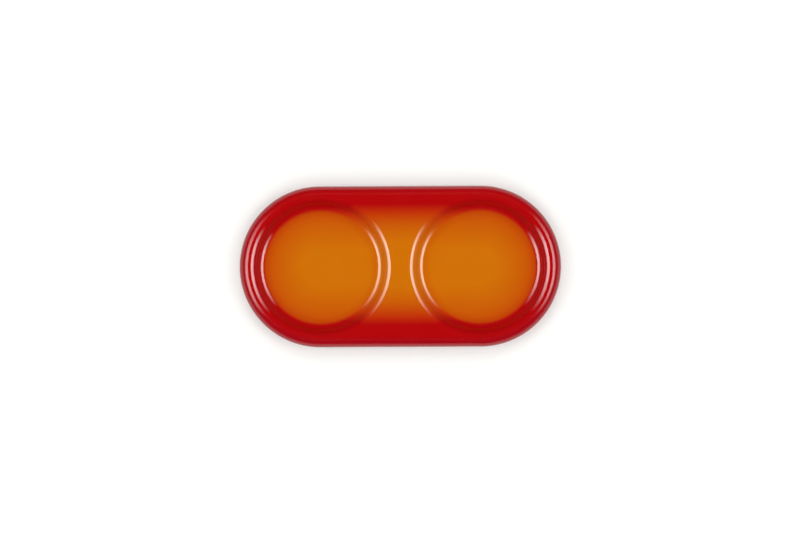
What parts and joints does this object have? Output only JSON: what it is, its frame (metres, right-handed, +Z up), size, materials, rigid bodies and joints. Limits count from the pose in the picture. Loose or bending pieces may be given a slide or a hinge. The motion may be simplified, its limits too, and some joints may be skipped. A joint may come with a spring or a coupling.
{
  "type": "pepper mill tray",
  "caption": "Low stadium-shaped glazed stoneware tray with round side-by-side wells that hold table mills upright and catch spilled pepper and salt.",
  "frame": {"origin": "on the table, under the middle of the tray", "axes": "+X along the tray from the left well to the right well, +Y to the back, +Z up out of the wells"},
  "size_m": [0.178, 0.0892, 0.016],
  "materials": {
    "bare_stoneware": "fired and ground, unglazed",
    "red_glaze": "glossy fired glaze",
    "amber_glaze": "glossy fired glaze"
  },
  "bodies": {
    "root": {"stoneware_body": "bare_stoneware", "red_rim_glaze": "red_glaze", "amber_well_glaze": "amber_glaze", "base_glaze": "red_glaze"}
  },
  "joints": []
}
